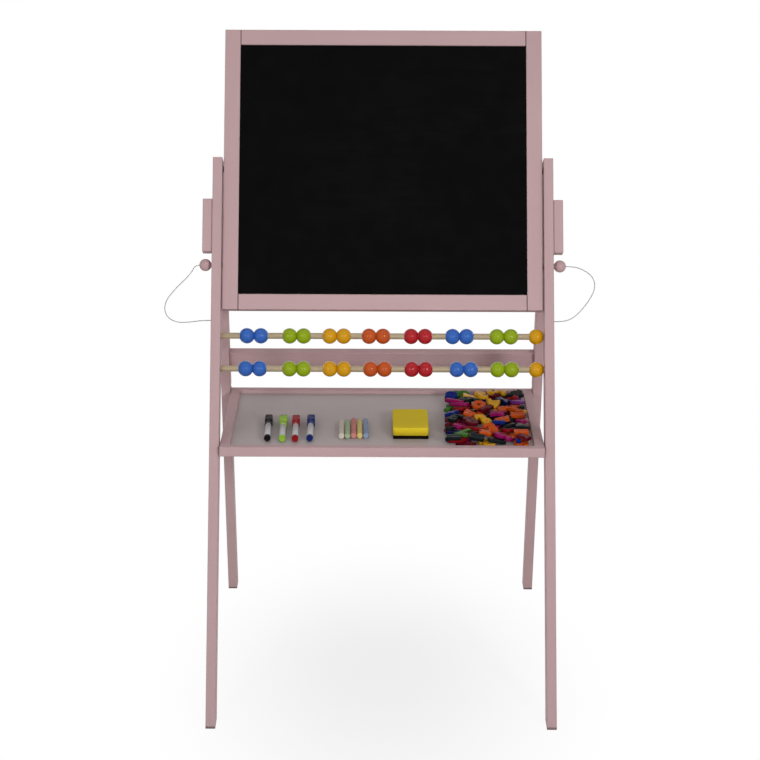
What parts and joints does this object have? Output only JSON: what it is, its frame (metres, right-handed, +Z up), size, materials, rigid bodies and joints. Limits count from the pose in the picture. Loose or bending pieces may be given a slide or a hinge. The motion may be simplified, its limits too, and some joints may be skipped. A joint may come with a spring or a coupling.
{
  "type": "kids easel",
  "caption": "Painted A-frame children's easel: turning chalk and magnetic board locked by corded pegs, bead abacus on rods, tray between the legs, folding back legs.",
  "frame": {"origin": "on the floor, midway between the legs and midway between the front toes and the back heels", "axes": "+Z up, +X to the right seen from the chalkboard side, +Y from the chalkboard side to the back legs"},
  "size_m": [0.7055, 0.667, 1.0489],
  "materials": {
    "pink_paint": "satin paint on pine",
    "rod_wood": "clear lacquered beech",
    "chalkboard": "matt blackboard paint on hardboard",
    "whiteboard": "glossy white enamel on a steel-faced hardboard",
    "tray_board": "light grey faced hardboard",
    "steel": "zinc plated",
    "cord_grey": "twisted waxed cord",
    "marker_plastic": "moulded plastic",
    "chalk": "dusty",
    "eraser_foam": "foam on a black felt base",
    "bead_blue": "gloss lacquer",
    "bead_green": "gloss lacquer",
    "bead_yellow": "gloss lacquer",
    "bead_orange": "gloss lacquer",
    "bead_red": "gloss lacquer"
  },
  "bodies": {
    "frame": {"front_leg_left": "pink_paint", "front_leg_right": "pink_paint", "hinge_cheek_left": "pink_paint", "hinge_cheek_right": "pink_paint", "frame_screws": "steel", "hinge_bolts": "steel", "board_pivot_bolts": "steel", "abacus_rods": "rod_wood", "tray_front_rail": "pink_paint", "tray_back_rail": "pink_paint", "tray_side_left": "pink_paint", "tray_side_right": "pink_paint", "tray_panel": "tray_board", "tray_pins": "rod_wood", "markers": "marker_plastic", "chalk_sticks": "chalk", "board_eraser": "eraser_foam"},
    "board": {"board_stile_left": "pink_paint", "board_stile_right": "pink_paint", "board_rail_top": "pink_paint", "board_rail_bottom": "pink_paint", "chalkboard_panel": "chalkboard", "whiteboard_panel": "whiteboard"},
    "back_legs": {"back_leg_left": "pink_paint", "back_leg_right": "pink_paint", "back_cross_rail": "pink_paint"},
    "peg_left": {"peg_left": "pink_paint", "peg_cord_left": "cord_grey"},
    "peg_right": {"peg_right": "pink_paint", "peg_cord_right": "cord_grey"},
    "bead_upper_01_blue": {"bead_upper_01_blue": "bead_blue"},
    "bead_upper_02_blue": {"bead_upper_02_blue": "bead_blue"},
    "bead_upper_03_green": {"bead_upper_03_green": "bead_green"},
    "bead_upper_04_green": {"bead_upper_04_green": "bead_green"},
    "bead_upper_05_yellow": {"bead_upper_05_yellow": "bead_yellow"},
    "bead_upper_06_yellow": {"bead_upper_06_yellow": "bead_yellow"},
    "bead_upper_07_orange": {"bead_upper_07_orange": "bead_orange"},
    "bead_upper_08_orange": {"bead_upper_08_orange": "bead_orange"},
    "bead_upper_09_red": {"bead_upper_09_red": "bead_red"},
    "bead_upper_10_red": {"bead_upper_10_red": "bead_red"},
    "bead_upper_11_blue": {"bead_upper_11_blue": "bead_blue"},
    "bead_upper_12_blue": {"bead_upper_12_blue": "bead_blue"},
    "bead_upper_13_green": {"bead_upper_13_green": "bead_green"},
    "bead_upper_14_green": {"bead_upper_14_green": "bead_green"},
    "bead_upper_15_yellow": {"bead_upper_15_yellow": "bead_yellow"},
    "bead_lower_01_blue": {"bead_lower_01_blue": "bead_blue"},
    "bead_lower_02_blue": {"bead_lower_02_blue": "bead_blue"},
    "bead_lower_03_green": {"bead_lower_03_green": "bead_green"},
    "bead_lower_04_green": {"bead_lower_04_green": "bead_green"},
    "bead_lower_05_yellow": {"bead_lower_05_yellow": "bead_yellow"},
    "bead_lower_06_yellow": {"bead_lower_06_yellow": "bead_yellow"},
    "bead_lower_07_orange": {"bead_lower_07_orange": "bead_orange"},
    "bead_lower_08_orange": {"bead_lower_08_orange": "bead_orange"},
    "bead_lower_09_red": {"bead_lower_09_red": "bead_red"},
    "bead_lower_10_red": {"bead_lower_10_red": "bead_red"},
    "bead_lower_11_blue": {"bead_lower_11_blue": "bead_blue"},
    "bead_lower_12_blue": {"bead_lower_12_blue": "bead_blue"},
    "bead_lower_13_green": {"bead_lower_13_green": "bead_green"},
    "bead_lower_14_green": {"bead_lower_14_green": "bead_green"},
    "bead_lower_15_yellow": {"bead_lower_15_yellow": "bead_yellow"}
  },
  "joints": [
    {"name": "board_turn", "type": "hinge", "parent": "frame", "child": "board", "pos_m": [0, 0.04983, 0.82995], "axis": [1, 0, 0], "continuous": true},
    {"name": "back_leg_fold", "type": "hinge", "parent": "frame", "child": "back_legs", "pos_m": [0, 0.08466, 0.73507], "axis": [-1, 0, 0], "range_deg": [0, 40.9]},
    {"name": "peg_left_pull", "type": "slide", "parent": "frame", "child": "peg_left", "axis": [-1, 0, 0], "range_m": [-0.0026, 0.06]},
    {"name": "peg_right_pull", "type": "slide", "parent": "frame", "child": "peg_right", "axis": [1, 0, 0], "range_m": [-0.0026, 0.06]},
    {"name": "slide_upper_01_blue", "type": "slide", "parent": "frame", "child": "bead_upper_01_blue", "axis": [1, 0, 0], "range_m": [-0.031, 0]},
    {"name": "slide_upper_02_blue", "type": "slide", "parent": "frame", "child": "bead_upper_02_blue", "axis": [1, 0, 0], "range_m": [0, 0.01218]},
    {"name": "slide_upper_03_green", "type": "slide", "parent": "frame", "child": "bead_upper_03_green", "axis": [1, 0, 0], "range_m": [-0.01218, 0]},
    {"name": "slide_upper_04_green", "type": "slide", "parent": "frame", "child": "bead_upper_04_green", "axis": [1, 0, 0], "range_m": [0, 0.00993]},
    {"name": "slide_upper_05_yellow", "type": "slide", "parent": "frame", "child": "bead_upper_05_yellow", "axis": [1, 0, 0], "range_m": [-0.00993, 0]},
    {"name": "slide_upper_06_yellow", "type": "slide", "parent": "frame", "child": "bead_upper_06_yellow", "axis": [1, 0, 0], "range_m": [0, 0.00937]},
    {"name": "slide_upper_07_orange", "type": "slide", "parent": "frame", "child": "bead_upper_07_orange", "axis": [1, 0, 0], "range_m": [-0.00937, 0]},
    {"name": "slide_upper_08_orange", "type": "slide", "parent": "frame", "child": "bead_upper_08_orange", "axis": [1, 0, 0], "range_m": [0, 0.0116]},
    {"name": "slide_upper_09_red", "type": "slide", "parent": "frame", "child": "bead_upper_09_red", "axis": [1, 0, 0], "range_m": [-0.0116, 0]},
    {"name": "slide_upper_10_red", "type": "slide", "parent": "frame", "child": "bead_upper_10_red", "axis": [1, 0, 0], "range_m": [0, 0.01109]},
    {"name": "slide_upper_11_blue", "type": "slide", "parent": "frame", "child": "bead_upper_11_blue", "axis": [1, 0, 0], "range_m": [-0.01109, 0]},
    {"name": "slide_upper_12_blue", "type": "slide", "parent": "frame", "child": "bead_upper_12_blue", "axis": [1, 0, 0], "range_m": [0, 0.01346]},
    {"name": "slide_upper_13_green", "type": "slide", "parent": "frame", "child": "bead_upper_13_green", "axis": [1, 0, 0], "range_m": [-0.01346, 0]},
    {"name": "slide_upper_14_green", "type": "slide", "parent": "frame", "child": "bead_upper_14_green", "axis": [1, 0, 0], "range_m": [0, 0.00939]},
    {"name": "slide_upper_15_yellow", "type": "slide", "parent": "frame", "child": "bead_upper_15_yellow", "axis": [1, 0, 0], "range_m": [-0.00939, 0.0012]},
    {"name": "slide_lower_01_blue", "type": "slide", "parent": "frame", "child": "bead_lower_01_blue", "axis": [1, 0, 0], "range_m": [-0.02925, 0]},
    {"name": "slide_lower_02_blue", "type": "slide", "parent": "frame", "child": "bead_lower_02_blue", "axis": [1, 0, 0], "range_m": [0, 0.01305]},
    {"name": "slide_lower_03_green", "type": "slide", "parent": "frame", "child": "bead_lower_03_green", "axis": [1, 0, 0], "range_m": [-0.01305, 0]},
    {"name": "slide_lower_04_green", "type": "slide", "parent": "frame", "child": "bead_lower_04_green", "axis": [1, 0, 0], "range_m": [0, 0.01017]},
    {"name": "slide_lower_05_yellow", "type": "slide", "parent": "frame", "child": "bead_lower_05_yellow", "axis": [1, 0, 0], "range_m": [-0.01017, 0]},
    {"name": "slide_lower_06_yellow", "type": "slide", "parent": "frame", "child": "bead_lower_06_yellow", "axis": [1, 0, 0], "range_m": [0, 0.01041]},
    {"name": "slide_lower_07_orange", "type": "slide", "parent": "frame", "child": "bead_lower_07_orange", "axis": [1, 0, 0], "range_m": [-0.01041, 0]},
    {"name": "slide_lower_08_orange", "type": "slide", "parent": "frame", "child": "bead_lower_08_orange", "axis": [1, 0, 0], "range_m": [0, 0.01077]},
    {"name": "slide_lower_09_red", "type": "slide", "parent": "frame", "child": "bead_lower_09_red", "axis": [1, 0, 0], "range_m": [-0.01077, 0]},
    {"name": "slide_lower_10_red", "type": "slide", "parent": "frame", "child": "bead_lower_10_red", "axis": [1, 0, 0], "range_m": [0, 0.01406]},
    {"name": "slide_lower_11_blue", "type": "slide", "parent": "frame", "child": "bead_lower_11_blue", "axis": [1, 0, 0], "range_m": [-0.01406, 0]},
    {"name": "slide_lower_12_blue", "type": "slide", "parent": "frame", "child": "bead_lower_12_blue", "axis": [1, 0, 0], "range_m": [0, 0.01065]},
    {"name": "slide_lower_13_green", "type": "slide", "parent": "frame", "child": "bead_lower_13_green", "axis": [1, 0, 0], "range_m": [-0.01065, 0]},
    {"name": "slide_lower_14_green", "type": "slide", "parent": "frame", "child": "bead_lower_14_green", "axis": [1, 0, 0], "range_m": [0, 0.00877]},
    {"name": "slide_lower_15_yellow", "type": "slide", "parent": "frame", "child": "bead_lower_15_yellow", "axis": [1, 0, 0], "range_m": [-0.00877, 0.0012]}
  ]
}
